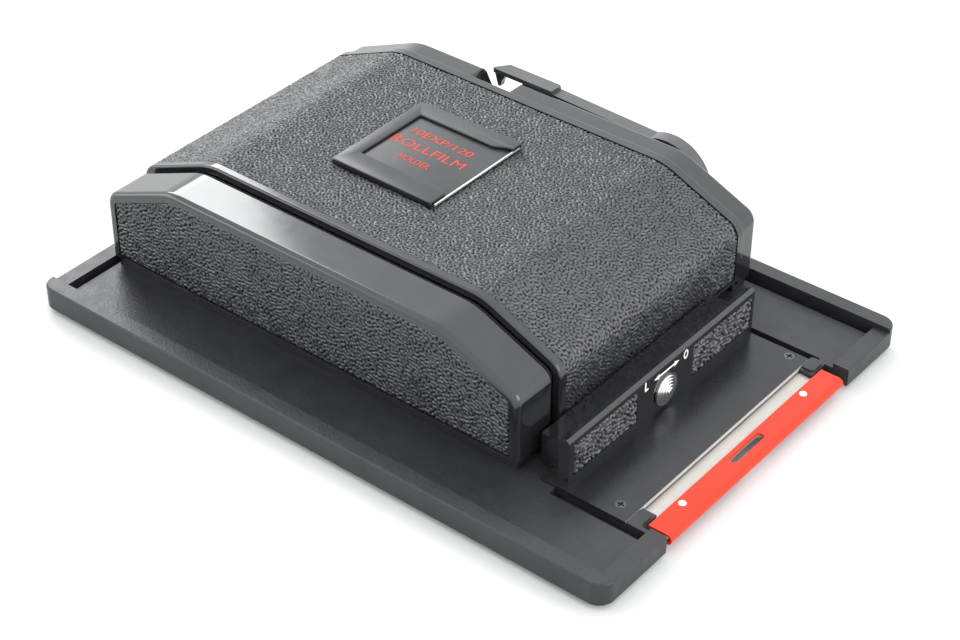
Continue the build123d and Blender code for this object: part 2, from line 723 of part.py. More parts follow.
with BuildPart() as latch_housing:
    slab(housing_rear_x, housing_front_x, housing_near_y, housing_far_y, panel_top, housing_top)
    slab(housing_rear_x - 1, latch_wall_x, housing_near_y - 1, housing_far_y + 1,
         trough_height, housing_top + 1, Mode.SUBTRACT)
    fillet(latch_housing.edges().filter_by(Axis.Y).group_by(Axis.Z)[-1].sort_by(Axis.X)[-1],
           rail_round)
    # the rail's top falls away towards the cover
    with BuildSketch(Plane.XZ.offset(-housing_far_y - 1)) as fall:
        Polygon((rail_crest_x, level(housing_top)), (rail_crest_x, level(housing_top + 1)),
                (latch_wall_x, level(housing_top + 1)), (latch_wall_x, level(rail_rear_height)),
                align=None)
    extrude(fall.sketch, amount=housing_far_y - housing_near_y + 2, mode=Mode.SUBTRACT)
    for low, high in ((housing_near_y - 1, -latch_box_half), (latch_box_half, housing_far_y + 1)):
        slab(housing_rear_x - 1, latch_wall_x, low, high, panel_top - 1, housing_top + 1,
             Mode.SUBTRACT)
    slab(housing_rear_x + housing_wall, housing_front_x - 1.7,
         housing_wall - latch_box_half, latch_box_half - housing_wall,
         panel_top - 1, trough_height - housing_wall, Mode.SUBTRACT)
    for low, high in latch_inlays:
        slab(housing_front_x - latch_inlay_depth, housing_front_x + 1, low, high,
             latch_inlay_low, latch_inlay_high, Mode.SUBTRACT)
    for catch_y in catch_places:
        slab(housing_rear_x - 1, housing_rear_x + 2, catch_y - 0.8, catch_y + 5.4,
             hook_window_low, hook_window_high, Mode.SUBTRACT)
    slab(housing_front_x - 2, housing_front_x + 1,
         button_y - latch_travel - stem_radius - 0.2, button_y + stem_radius + 0.2,
         button_height - stem_radius - 0.2, button_height + stem_radius + 0.2, Mode.SUBTRACT)
    for side in (-1, 1):
        post(latch_pin_x, side * latch_pin_y, housing_top - 2, housing_top + 1,
             latch_pin_radius, Mode.SUBTRACT)

latch_leathers = []
for low, high in latch_inlays:
    with BuildPart() as latch_leather:
        slab(housing_front_x - latch_inlay_depth, housing_front_x + 0.1, low + 0.05, high - 0.05,
             latch_inlay_low + 0.05, latch_inlay_high - 0.05)
    latch_leathers.append(latch_leather)

with BuildPart() as latch_pins:
    for side in (-1, 1):
        post(latch_pin_x, side * latch_pin_y, housing_top - 2, latch_pin_top, latch_pin_radius)

with BuildPart() as latch_bar:
    slab(latch_bar_x[0], latch_bar_x[1], latch_bar_y[0], latch_bar_y[1],
         latch_bar_heights[0], latch_bar_heights[1])
    for catch_y in catch_places:
        slab(catch_x - 0.7, latch_bar_x[0], catch_y + 2.8, catch_y + 5.0,
             hook_window_low + hook_play, hook_window_high - hook_play)

with BuildPart() as latch_button:
    stud(button_y, button_height, latch_bar_x[1], housing_front_x + 0.3, stem_radius)
    stud(button_y, button_height, housing_front_x + 0.1, housing_front_x + 0.5, button_flange)
    for step, ring_radius in enumerate(button_rings):
        stud(button_y, button_height, housing_front_x + 0.15,
             housing_front_x + 0.5 + ring_step * (step + 1), ring_radius)
        ring_edge = latch_button.edges().filter_by(GeomType.CIRCLE).group_by(Axis.X)[-1]
        fillet(ring_edge, 0.12)

# ------------------------------------------------------------------ memo clip

leather_top = top_height + bead_outer
window_low_x = clip_low_x + clip_border_x
window_near_y = clip_near_y + clip_border_near
window_far_y = clip_far_y - clip_border_far
card_low = leather_top + clip_floor
with BuildPart() as memo_clip:
    slab(clip_low_x, clip_high_x, clip_near_y, clip_far_y, leather_top, leather_top + clip_height)
    slab(clip_low_x + clip_sheet, clip_high_x + 1, clip_near_y + clip_sheet,
         clip_far_y - clip_sheet, leather_top + clip_floor, leather_top + clip_height - clip_sheet,
         Mode.SUBTRACT)
    slab(window_low_x, clip_high_x + 1, window_near_y, window_far_y,
         leather_top + clip_floor, leather_top + clip_height + 1, Mode.SUBTRACT)

with BuildPart() as memo_card:
    slab(clip_low_x + card_inset, clip_high_x - 0.3, clip_near_y + card_inset,
         clip_far_y - card_inset, card_low, card_low + card_thick)

# ------------------------------------------------------------------ winding drive

centre_distance = hypot(takeup_x - lever_x, spool_height - lever_height)
gear_module = 2 * centre_distance / (lever_teeth + spool_teeth)
mesh_angle = degrees(atan2(spool_height - lever_height, takeup_x - lever_x))

with BuildPart() as takeup_shaft:
    rod(takeup_x, spool_height, 31.0, 40.6, pin_radius)
    rod(takeup_x, spool_height, 40.6, mechanism_far_y + 0.4, takeup_shaft_radius)
    slab(takeup_x - 4.8, takeup_x + 4.8, 31.6, 33.1, spool_height - 0.8, spool_height + 0.8)

with BuildPart() as takeup_gear:
    spur_gear(takeup_x, spool_height, spool_teeth, gear_module, pin_radius,
              mesh_angle + 180 + 180 / spool_teeth)

with BuildPart() as lever_shaft:
    rod(lever_x, lever_height, gear_near_y - 0.6, cap_far_y, lever_bore)
    rod(lever_x, lever_height, gear_far_y, gear_far_y + 0.8, 4.0)

with BuildPart() as lever_gear:
    spur_gear(lever_x, lever_height, lever_teeth, gear_module, lever_bore, mesh_angle)

with BuildPart() as mechanism_plate:
    slab(mechanism_start_x, mechanism_end_x, mechanism_near_y, mechanism_far_y,
         floor_height, mechanism_top)
    for post_x in mechanism_posts:
        rod(post_x, mechanism_post_height, wall_outer_y, mechanism_near_y,
            mechanism_post_radius)
    for hole_x, hole_height, shaft_radius in (
            (takeup_x, spool_height, takeup_shaft_radius),
            (lever_x, lever_height, lever_bore),
            (counter_x, counter_height, counter_shaft_radius)):
        rod(hole_x, hole_height, mechanism_near_y - 1, mechanism_far_y + 1,
            shaft_radius + running_gap, Mode.SUBTRACT)

with BuildPart() as lever_bushing:
    rod(lever_x, lever_height, far_outer_y - 2.5, far_outer_y + 0.4, bushing_radius)
    rod(lever_x, lever_height, far_outer_y - 4, lever_near_y, lever_bore + running_gap,
        Mode.SUBTRACT)

with BuildPart() as winding_lever:
    rod(lever_x, lever_height, lever_near_y, lever_far_y, lever_disc_radius)
    with BuildSketch(Plane.XZ.offset(-lever_far_y)) as arm:
        Polygon((lever_tip_end_x - 1, level(lever_arm_bottom)),
                (lever_x, level(lever_arm_bottom)),
                (lever_x - 5, level(lever_arm_disc_top)),
                (lever_tip_end_x - 1, level(lever_arm_tip_top)), align=None)
    extrude(arm.sketch, amount=lever_far_y - lever_near_y)
    # flat finger tip, its far corner cut off, with a tab below its end
    with BuildSketch(Plane.XY.offset(level(lever_tip_top - lever_tip_sheet))) as tip:
        with BuildLine():
            FilletPolyline(
                (lever_tip_x, lever_tip_near_y), (lever_tip_end_x, lever_tip_near_y),
                (lever_tip_end_x, lever_tip_far_y), (lever_tip_x + 3.1, lever_tip_far_y),
                radius=0.4, close=True)
        make_face()
    extrude(tip.sketch, amount=lever_tip_sheet)
    slab(lever_tip_x + 8.0, lever_tip_end_x, lever_tip_far_y - 1.4, lever_tip_far_y,
         28.4, lever_tip_top - 0.5)
    with BuildSketch(Plane.XZ.offset(-lever_tip_near_y - 2.6)) as tab:
        with BuildLine():
            Polyline((lever_tip_x + 0.1, level(lever_tip_top - lever_tip_sheet)),
                     (lever_tip_x + 1.4, level(28.6)), (lever_tip_x + 2.2, level(28.6)),
                     (lever_tip_x + 2.5, level(30.0)),
                     (lever_tip_x + 4.1, level(lever_tip_top - lever_tip_sheet + 0.1)),
                     (lever_tip_x + 2.0, level(lever_tip_top - lever_tip_sheet + 0.1)),
                     close=True)
        make_face()
    extrude(tab.sketch, amount=1.6)
    rod(lever_x, lever_height, far_outer_y, cap_far_y, lever_bore, Mode.SUBTRACT)

with BuildPart() as lever_cap:
    rod(lever_x, lever_height, lever_far_y, cap_far_y, cap_radius)
    fillet(lever_cap.edges().group_by(Axis.Y)[-1], 0.6)
    rod(lever_x, lever_height, lever_near_y, cap_far_y + 1, lever_bore, Mode.SUBTRACT)

with BuildPart() as lever_screw:
    rod(lever_x, lever_height, cap_far_y, cap_far_y + 0.6, 3.4)
    fillet(lever_screw.edges().group_by(Axis.Y)[-1], 0.3)
    slab(lever_x - 5, lever_x + 5, cap_far_y + 0.25, cap_far_y + 1,
         lever_height - 0.35, lever_height + 0.35, Mode.SUBTRACT)

with BuildPart() as counter_dial:
    rod(counter_x, counter_height, counter_near_y, counter_far_y, counter_radius)
    rod(counter_x, counter_height, mechanism_near_y - 0.8, counter_near_y,
        counter_shaft_radius)
    rod(counter_x, counter_height, counter_hub_y, counter_near_y, counter_hub_radius)

with BuildPart() as counter_window:
    rod(counter_x, counter_window_height, far_outer_y - 1.4, far_outer_y - 0.2,
        counter_window_radius)

with BuildPart() as release_button:
    rod(release_x, release_height, release_near_y, far_outer_y + 1.4, release_radius)
    rod(release_x, release_height, release_near_y, release_near_y + release_collar,
        release_radius + release_collar)
    fillet(release_button.edges().group_by(Axis.Y)[-1], 0.5)

# ------------------------------------------------------------------ pieces to files

pieces = {
    "base_plate": base_plate,
    "slide_cover_panel": slide_cover_panel,
    "panel_screws": panel_screws,
    "base_screws": base_screws,
    "light_trap_felt": light_trap_felt,
    "dark_slide_sheet": dark_slide_sheet,
    "dark_slide_handle": dark_slide_handle,
    "handle_rivets": handle_rivets,
    "film_chamber": film_chamber,
    "supply_end_roller": end_rollers[0],
    "takeup_end_roller": end_rollers[1],
    "supply_spool": film_spools[0],
    "takeup_spool": film_spools[1],
    "supply_spool_pin": spool_pins[0],
    "takeup_spool_pin": spool_pins[1],
    "supply_idler": supply_idler,
    "pressure_plate": pressure_plate,
    "pressure_bridge": pressure_bridge,
    "pressure_springs": pressure_springs,
    "near_cheek": near_cheek,
    "near_cheek_leather": near_cheek_leather,
    "far_cheek": far_cheek,
    "far_cheek_leather": far_cheek_leather,
    "cover_shell": cover_shell,
    "cover_leather": cover_leather,
    "hinge_leaf_body": hinge_leaf_body,
    "hinge_leaf_cover": hinge_leaf_cover,
    "hinge_pin": hinge_pin,
    "cover_catches": cover_catches,
    "latch_housing": latch_housing,
    "latch_leather_near": latch_leathers[0],
    "latch_leather_far": latch_leathers[1],
    "latch_pins": latch_pins,
    "latch_bar": latch_bar,
    "latch_button": latch_button,
    "memo_clip": memo_clip,
    "memo_card": memo_card,
    "takeup_shaft": takeup_shaft,
    "takeup_gear": takeup_gear,
    "lever_shaft": lever_shaft,
    "lever_gear": lever_gear,
    "mechanism_plate": mechanism_plate,
    "lever_bushing": lever_bushing,
    "winding_lever": winding_lever,
    "lever_cap": lever_cap,
    "lever_screw": lever_screw,
    "counter_dial": counter_dial,
    "counter_window": counter_window,
    "release_button": release_button,
}

os.makedirs("parts", exist_ok=True)
for name, piece in pieces.items():
    piece.part.label = name
    export_step(piece.part, f"parts/{name}.step")
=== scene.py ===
"""Looks of the roll-film holder: finishes, leather grain, memo clip, markings, studio and camera.

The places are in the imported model's frame. A piece's lengths are millimetres until its mesh is
made; the floor, the lights' places and sizes are metres.
"""
import json
from math import atan2, cos, pi, radians, sin, tan

import bpy
import numpy as np
from mathutils import Matrix, Vector


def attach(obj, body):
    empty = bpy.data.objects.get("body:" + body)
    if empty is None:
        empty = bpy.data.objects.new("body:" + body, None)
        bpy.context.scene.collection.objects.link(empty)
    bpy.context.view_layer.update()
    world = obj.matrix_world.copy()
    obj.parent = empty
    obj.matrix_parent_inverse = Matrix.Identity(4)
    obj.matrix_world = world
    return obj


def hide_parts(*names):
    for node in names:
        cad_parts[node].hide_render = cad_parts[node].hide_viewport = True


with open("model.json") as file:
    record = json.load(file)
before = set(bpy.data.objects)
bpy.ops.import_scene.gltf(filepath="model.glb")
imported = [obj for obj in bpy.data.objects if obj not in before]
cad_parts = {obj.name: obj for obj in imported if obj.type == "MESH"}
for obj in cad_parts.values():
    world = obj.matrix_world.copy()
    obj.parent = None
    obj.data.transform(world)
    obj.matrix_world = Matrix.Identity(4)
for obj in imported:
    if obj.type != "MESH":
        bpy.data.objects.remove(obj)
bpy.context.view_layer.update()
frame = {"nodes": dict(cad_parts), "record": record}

MM = 0.001
RIB = 1.3  # height of the plate's underside; level heights below are measured from there

# side outline of the hump: its middle, its half lengths and heights, the radii of its corners
BODY_X = -16.65
HALF, TOP_HALF = 63.85, 42.0
SHOULDER, TOP = 24.2, 33.5
SHOULDER_ROUND, TOP_ROUND = 4.0, 15.0

# where the cover's leather ends, and the bounds of the inlays in the cheeks' faces; grow is how
# far an inlay's roof stands outside the hump's outline
COVER_LEATHER_BOTTOM = 9.85
COVER_LEATHER_Y = (-23.97, 44.37)
NEAR_INLAY = dict(y=-40.0, outward=-1, low_x=BODY_X - HALF + 2.56, high_x=BODY_X + HALF - 2.56,
                  grow=-2.55, bottom=7.05)
FAR_INLAY = dict(y=54.3, outward=1, low_x=BODY_X - HALF + 2.5, high_x=-39.0,
                 grow=-2.5, bottom=7.0)
TALLEST_INLAY = 28.0
COUNTER_HOLE = (-50.0, 24.0, 3.4)  # place along X, height, radius
RELEASE_HOLE = (-66.0, 14.0, 3.4)

# front of the latch housing, and its two leather inlays
LATCH_FACE_X = 58.9
LATCH_INLAY_HEIGHTS = (6.15, 14.75)
LATCH_INLAYS = {"near": (-34.95, -11.35, 41), "far": (10.85, 35.15, 43)}  # ends along Y, seed
MARK_HEIGHT = 14.4  # middle of the latch marks

# memo clip and its card, level heights above the leather
LEATHER_TOP = TOP + 1.0
CLIP_LOW_X, CLIP_NEAR_Y, CLIP_FAR_Y = -36.3, -6.5, 27.6
CLIP_SHEET = 0.45
CARD_LOW, CARD_TOP = 0.3, 0.8

# panel over the slide's channel
PANEL_END_X = 75.3
PANEL_Y = (-38.1, 35.8)
PANEL_HEIGHTS = (2.95, 3.97)


# ---------------------------------------------------------------- finishes

# wavelengths of the finishes' shared noises
TINT_PATCH, WEAR_PATCH, DUST_GRAIN, BRUSHING = 9.0, 3.5, 0.8, 0.25
WEAR_SPREAD = 0.12
DUST_GREY = (0.35, 0.35, 0.35)
DUST_LEVELS = (0.69, 0.76)  # noise values where dust starts to show and shows in full
# painted shade: the grain's hollows get a darker, duller finish, fading in between these two grain
# values
PIT_SHADE_LEVELS = (-0.7, 0.5)  # grain values of a pit's bottom and of the surface round it
BRUSHED_ROUGHNESS = (-0.05, 0.12)


def material(name, colour, rough, metal=0.0, spread=0.2, bumps=(), streak=None,
             specks=0.0, alpha=1.0, specular=0.5, pit_shade=0.0):
    """Procedural finish. spread is how far its tint wanders; bumps are (wavelength, height) pairs
    in mm; streak is how the brushing's noise is stretched; specks is how much dust shows;
    pit_shade is how much painted shade darkens and dulls the bottoms of a mesh's own grain."""
    mat = bpy.data.materials.new(name)
    mat.use_nodes = True
    nodes, links = mat.node_tree.nodes, mat.node_tree.links
    shader = nodes["Principled BSDF"]
    shader.inputs["Metallic"].default_value = metal
    shader.inputs["Specular IOR Level"].default_value = specular
    shader.inputs["Alpha"].default_value = alpha
    place = nodes.new("ShaderNodeTexCoord").outputs["Object"]

    def noise(wavelength, detail=3.0, stretch=(1, 1, 1), offset=0.0):
        scaled = nodes.new("ShaderNodeMapping")
        scaled.inputs["Scale"].default_value = [s / (wavelength * MM) for s in stretch]
        scaled.inputs["Location"].default_value = (offset, offset, offset)
        links.new(place, scaled.inputs["Vector"])
        texture = nodes.new("ShaderNodeTexNoise")
        texture.inputs["Scale"].default_value = 1.0
        texture.inputs["Detail"].default_value = detail
        links.new(scaled.outputs["Vector"], texture.inputs["Vector"])
        return texture.outputs["Fac"]

    def spread_over(value, low, high, start=0.3, stop=0.7):
        ranged = nodes.new("ShaderNodeMapRange")
        ranged.inputs["From Min"].default_value = start
        ranged.inputs["From Max"].default_value = stop
        ranged.inputs["To Min"].default_value = low
        ranged.inputs["To Max"].default_value = high
        links.new(value, ranged.inputs["Value"])
        return ranged.outputs["Result"]

    def mixed(factor, first, second):
        blend = nodes.new("ShaderNodeMix")
        blend.data_type = "RGBA"
        links.new(factor, blend.inputs["Factor"])
        for socket, value in ((blend.inputs[6], first), (blend.inputs[7], second)):
            if isinstance(value, bpy.types.NodeSocket):
                links.new(value, socket)
            else:
                socket.default_value = (*value, 1)
        return blend.outputs[2]

    dark = [c * (1 - spread) for c in colour]
    light = [min(c * (1 + spread), 1) for c in colour]
    tint = mixed(spread_over(noise(TINT_PATCH, 4.0), 0, 1), dark, light)
    if specks:
        dust = spread_over(noise(DUST_GRAIN, 2.0, offset=7.0), 0, specks, *DUST_LEVELS)
        tint = mixed(dust, tint, DUST_GREY)
    # painted shade: a darker tint and a lower specular level in the hollows of the mesh's grain
    if pit_shade:
        raised = nodes.new("ShaderNodeAttribute")
        raised.attribute_name = "grain"
        height = spread_over(raised.outputs["Fac"], 0, 1, *PIT_SHADE_LEVELS)
        tint = mixed(height, [c * (1 - pit_shade) for c in colour], tint)
        links.new(spread_over(height, specular * (1 - pit_shade), specular, 0, 1),
                  shader.inputs["Specular IOR Level"])
    links.new(tint, shader.inputs["Base Color"])
    wear = spread_over(noise(WEAR_PATCH, 5.0, offset=3.0), rough * (1 - WEAR_SPREAD),
                       min(rough * (1 + WEAR_SPREAD), 1))
    if streak:
        lines = noise(BRUSHING, 2.0, stretch=streak, offset=11.0)
        add = nodes.new("ShaderNodeMath")
        links.new(wear, add.inputs[0])
        links.new(spread_over(lines, *BRUSHED_ROUGHNESS), add.inputs[1])
        wear = add.outputs[0]
    links.new(wear, shader.inputs["Roughness"])
    normal = None
    for wavelength, height in bumps:
        bump = nodes.new("ShaderNodeBump")
        bump.inputs["Strength"].default_value = 1.0
        bump.inputs["Distance"].default_value = height * MM
        links.new(noise(wavelength, 1.5, offset=wavelength), bump.inputs["Height"])
        if normal:
            links.new(normal, bump.inputs["Normal"])
        normal = bump.outputs["Normal"]
    if normal:
        links.new(normal, shader.inputs["Normal"])
    return mat


FINE = ((0.35, 0.004),)
GLOSS = ((6.0, 0.006),)
FINISHES = {
    "plate_plastic": dict(colour=(0.018, 0.018, 0.020), rough=0.40, specular=0.45, specks=0.06,
                          bumps=((0.7, 0.06), (0.3, 0.03))),
    "panel_metal": dict(colour=(0.013, 0.013, 0.015), rough=0.26, specular=0.42, specks=0.04,
                        bumps=((0.55, 0.03),)),
    "screw_steel": dict(colour=(0.10, 0.10, 0.105), rough=0.35, metal=0.9, bumps=FINE,
                        streak=(1, 8, 8)),
    "felt": dict(colour=(0.01, 0.01, 0.01), rough=0.95, bumps=((0.15, 0.05),)),
    "slide_steel": dict(colour=(0.47, 0.435, 0.40), rough=0.42, metal=0.8, bumps=FINE,
                        spread=0.04),
    "handle_enamel": dict(colour=(0.62, 0.026, 0.004), rough=0.14, specular=0.35, spread=0.04,
                          bumps=((9.0, 0.03),)),
    "rivet_aluminium": dict(colour=(0.85, 0.85, 0.86), rough=0.35, metal=0.7, spread=0.05,
                            bumps=FINE),
    "chamber_metal": dict(colour=(0.012, 0.012, 0.012), rough=0.65, bumps=((0.3, 0.01),)),
    "roller_steel": dict(colour=(0.6, 0.6, 0.62), rough=0.22, metal=1.0, bumps=FINE,
                         streak=(1, 0.05, 1), spread=0.06),
    "spool_plastic": dict(colour=(0.02, 0.02, 0.021), rough=0.4, bumps=((0.8, 0.01),)),
    "pressure_metal": dict(colour=(0.015, 0.015, 0.016), rough=0.4, bumps=FINE),
    "spring_steel": dict(colour=(0.6, 0.6, 0.6), rough=0.25, metal=1.0, bumps=FINE),
    "gloss_black": dict(colour=(0.014, 0.014, 0.015), rough=0.11, specular=0.75, specks=0.05,
                        bumps=GLOSS),
    # painted shade: the leatherette is painted darker and duller in its grain's hollows
    "leatherette": dict(colour=(0.034, 0.034, 0.036), rough=0.36, bumps=((0.14, 0.012),),
                        specks=0.03, pit_shade=0.9, specular=0.8),
    "hinge_steel": dict(colour=(0.02, 0.02, 0.02), rough=0.4, bumps=FINE),
    "latch_chrome": dict(colour=(0.80, 0.80, 0.81), rough=0.22, metal=1.0, spread=0.04,
                         bumps=((0.6, 0.002),)),
    "clip_enamel": dict(colour=(0.020, 0.020, 0.022), rough=0.3, bumps=((1.2, 0.003),),
                        specks=0.02),
    "card": dict(colour=(0.022, 0.022, 0.024), rough=0.34, bumps=((4.0, 0.008),)),
    "gear_brass": dict(colour=(0.7, 0.52, 0.22), rough=0.3, metal=1.0, bumps=FINE,
                       streak=(1, 0.05, 1)),
    "lever_enamel": dict(colour=(0.035, 0.035, 0.037), rough=0.28, specular=0.9,
                         bumps=((1.5, 0.003),)),
    "dial_plastic": dict(colour=(0.82, 0.82, 0.80), rough=0.5, spread=0.04,
                         bumps=((0.6, 0.004),)),
    "window_clear": dict(colour=(0.9, 0.94, 0.95), rough=0.08, alpha=0.3, bumps=GLOSS),
    "button_black": dict(colour=(0.012, 0.012, 0.012), rough=0.2, bumps=GLOSS),
}
MATERIALS = {name: material(name, **finish) for name, finish in FINISHES.items()}
WHITE_PAINT = material("white_paint", (0.85, 0.85, 0.84), 0.5, spread=0.05, bumps=FINE)
RED_PAINT = material("red_paint", (0.52, 0.045, 0.02), 0.5, specular=0.2, spread=0.06, bumps=FINE)
CARD_EDGE = material("card_edge", (0.75, 0.74, 0.72), 0.4, metal=0.3, spread=0.05, bumps=FINE)
DARK_STEEL = material("dark_steel", (0.01, 0.01, 0.01), 0.6, specular=0.1, bumps=FINE)
BARE_METAL = material("bare_metal", (0.50, 0.49, 0.47), 0.45, metal=0.3, spread=0.06, bumps=FINE)

for part in frame["record"]["subparts"]:
    node = frame["nodes"][part["node"]]
    node.data.materials.clear()
    node.data.materials.append(DARK_STEEL if part["node"] == "latch_pins"
                               else MATERIALS[part["material_slot"]])


# ---------------------------------------------------------------- pieces

def piece(name, points, faces, body, slot, mat=None, replaces=(), smooth=True, grain=None):
    """Mesh piece in the row frame, riding on a body, from points in mm with Z from the table."""
    mesh = bpy.data.meshes.new(name)
    mesh.from_pydata([tuple(p) for p in np.asarray(points, float) * MM], [], faces)
    mesh.validate()
    obj = bpy.data.objects.new(name, mesh)
    bpy.context.scene.collection.objects.link(obj)
    mesh.materials.append(mat or MATERIALS[slot])
    mesh.polygons.foreach_set("use_smooth", [smooth] * len(mesh.polygons))
    if grain is not None:
        mesh.attributes.new("grain", "FLOAT", "POINT").data.foreach_set(
            "value", np.asarray(grain, np.float32).ravel())
    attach(obj, body)
    if replaces:
        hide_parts(*replaces)


def grid_faces(rows, columns, flip=False):
    """Quads of a grid of points stored row by row."""
    index = np.arange(rows * columns).reshape(rows, columns)
    a, b = index[:-1, :-1].ravel(), index[:-1, 1:].ravel()
    c, d = index[1:, 1:].ravel(), index[1:, :-1].ravel()
    quads = np.stack([a, d, c, b] if flip else [a, b, c, d], axis=1)
    return quads.tolist()


GRAIN_BANDWIDTH = 0.38
GRAIN_STEEPNESS = 1.5


class Grain:
    """Leather grain: band-passed noise made of plateaus and hollows, about -1 to 1. bias widens
    the plateaus; size is how much of it, along and across, there is before it repeats."""

    def __init__(self, seed, wavelength, size=(200.0, 100.0), step=0.16, bias=0.45):
        rows, columns = int(size[1] / step), int(size[0] / step)
        noise = np.random.default_rng(seed).standard_normal((rows, columns))
        along = np.fft.rfftfreq(columns, step)[None, :]
        across = np.fft.fftfreq(rows, step)[:, None]
        off_tune = (np.hypot(along, across) * wavelength - 1) / GRAIN_BANDWIDTH
        band = np.exp(-off_tune ** 2)
        field = np.fft.irfft2(np.fft.rfft2(noise) * band, s=noise.shape)
        field /= field.std()
        self.field = np.tanh(GRAIN_STEEPNESS * (field + bias))
        self.step = step

    def at(self, u, v):
        """Value at places in mm, repeating past the field's edges."""
        rows, columns = self.field.shape
        u = np.asarray(u) / self.step
        v = np.asarray(v) / self.step
        column, row = np.floor(u).astype(int), np.floor(v).astype(int)
        du, dv = u - column, v - row
        total = 0
        for row_on, row_weight in ((0, 1 - dv), (1, dv)):
            for column_on, column_weight in ((0, 1 - du), (1, du)):
                total = total + row_weight * column_weight * self.field[
                    (row + row_on) % rows, (column + column_on) % columns]
        return total


def rounded(corners, radii, step=0.3, closed=True):
    """Outline through the corners with each one rounded."""
    points, count = [], len(corners)
    for i, (corner, radius) in enumerate(zip(corners, radii)):
        corner = np.array(corner, float)
        if not closed and i in (0, count - 1) or radius <= 0:
            points.append(corner)
            continue
        before = np.array(corners[i - 1], float) - corner
        after = np.array(corners[(i + 1) % count], float) - corner
        before /= np.linalg.norm(before)
        after /= np.linalg.norm(after)
        half = np.arccos(np.clip(before @ after, -1, 1)) / 2
        reach = radius / tan(half)
        centre = corner + (before + after) / np.linalg.norm(before + after) * radius / sin(half)
        first = corner + before * reach - centre
        last = corner + after * reach - centre
        turn = atan2(first[0] * last[1] - first[1] * last[0], first @ last)
        pieces = max(3, int(abs(turn) * radius / step) + 1)
        for k in range(pieces + 1):
            angle = turn * k / pieces
            points.append(centre + np.array([first[0] * cos(angle) - first[1] * sin(angle),
                                             first[0] * sin(angle) + first[1] * cos(angle)]))
    return np.array(points)


def hump(bottom, grow, step=0.25):
    """Evenly spaced points (x, level) of the hump's side outline, and their outward normals."""
    corners = [(-HALF, bottom), (-HALF, SHOULDER), (-TOP_HALF, TOP), (TOP_HALF, TOP),
               (HALF, SHOULDER), (HALF, bottom)]
    line = rounded(corners, [0, SHOULDER_ROUND, TOP_ROUND, TOP_ROUND, SHOULDER_ROUND, 0],
                   step=0.1, closed=False)
    length = np.concatenate([[0], np.cumsum(np.hypot(*np.diff(line, axis=0).T))])
    spots = np.linspace(0, length[-1], int(length[-1] / step) + 1)
    path = np.stack([np.interp(spots, length, line[:, k]) for k in (0, 1)], axis=1)
    ahead = np.gradient(path, axis=0)
    ahead /= np.linalg.norm(ahead, axis=1)[:, None]
    normal = np.stack([-ahead[:, 1], ahead[:, 0]], axis=1)
    path = path + normal * grow + np.array([BODY_X, 0])
    return spots, path, normal


def edge_drop(distance, reach=0.5, depth=0.55):
    """How far the leather's surface falls near its cut edge."""
    return depth * (1 - np.clip(distance / reach, 0, 1)) ** 2


detail = 1.0
COVER_MESH, CHEEK_MESH, LATCH_MESH = 0.25 * detail, 0.27 * detail, 0.2 * detail


def cover_leather():
    """Leather wrapped over the hump between the shell's beads."""
    near_y, far_y = COVER_LEATHER_Y
    spots, path, normal = hump(COVER_LEATHER_BOTTOM, 0, COVER_MESH)
    across = np.linspace(near_y, far_y, int((far_y - near_y) / COVER_MESH) + 1)
    S, Y = np.meshgrid(spots, across, indexing="ij")
    border = np.minimum.reduce([S, spots[-1] - S, Y - near_y, far_y - Y])
    shift = 30
    relief = Grain(seed=11, wavelength=0.95).at(S, Y + shift)
    wave = Grain(seed=12, wavelength=2.6).at(S, Y + shift)
    thickness, relief_height, wave_height = 0.70, 0.30, 0.03
    lift = thickness + relief_height * relief + wave_height * wave - edge_drop(border)
    points = np.stack([path[:, 0, None] + normal[:, 0, None] * lift, Y,
                       path[:, 1, None] + normal[:, 1, None] * lift + RIB], axis=-1)
    piece("cover_leather_grain", points.reshape(-1, 3), grid_faces(*S.shape), "cover",
          "leatherette", replaces=("cover_leather",), grain=relief)


cover_leather()


def cheek_leather(name, node, y, outward, low_x, high_x, grow, bottom, seed, holes=()):
    """Flat inlay in a cheek, bounded above by the hump's outline, with round holes. Points close
    to a hole's rim are pulled onto it."""
    _, line, _ = hump(bottom, grow, 0.1)
    line[:, 1] = np.maximum(line[:, 1], bottom)
    columns = np.arange(low_x, high_x, CHEEK_MESH)
    roof = np.interp(columns, line[:, 0], line[:, 1])
    shares = np.linspace(0, 1, int(TALLEST_INLAY / CHEEK_MESH) + 1)
    X = np.repeat(columns[:, None], len(shares), axis=1)
    H = bottom + shares[None, :] * (roof[:, None] - bottom)
    pebble, wave = Grain(seed, 1.05, bias=0.4), Grain(seed + 1, 3.4)
    border = np.minimum.reduce([X - columns[0], columns[-1] - X, H - bottom, roof[:, None] - H])
    close = 0.16 * detail
    for hole_x, hole_height, radius in holes:
        away = np.hypot(X - hole_x, H - hole_height) + 1e-6
        pull = np.where(np.abs(away - radius) < close, radius / away, 1)
        X = hole_x + (X - hole_x) * pull
        H = hole_height + (H - hole_height) * pull
        border = np.minimum(border, np.abs(away * pull - radius))
    shift = 90
    relief = pebble.at(X + shift, H)
    sunk, relief_height, wave_height = 0.28, 0.26, 0.03
    depth = sunk - relief_height * relief - wave_height * wave.at(X + shift, H) + edge_drop(border)
    points = np.stack([X, y - outward * depth, H + RIB], axis=-1).reshape(-1, 3)
    faces = np.array(grid_faces(*X.shape, flip=outward > 0))
    middle = points[faces].mean(axis=1)
    for hole_x, hole_height, radius in holes:
        outside = np.hypot(middle[:, 0] - hole_x, middle[:, 2] - RIB - hole_height) > radius
        faces, middle = faces[outside], middle[outside]
    used = np.unique(faces)
    faces = np.searchsorted(used, faces)
    piece(name, points[used], faces.tolist(), "holder", "leatherette", replaces=(node,),
          grain=relief.ravel()[used])


cheek_leather("near_cheek_leather_grain", "near_cheek_leather", seed=21, **NEAR_INLAY)
cheek_leather("far_cheek_leather_grain", "far_cheek_leather", seed=31, **FAR_INLAY,
              holes=(COUNTER_HOLE, RELEASE_HOLE))


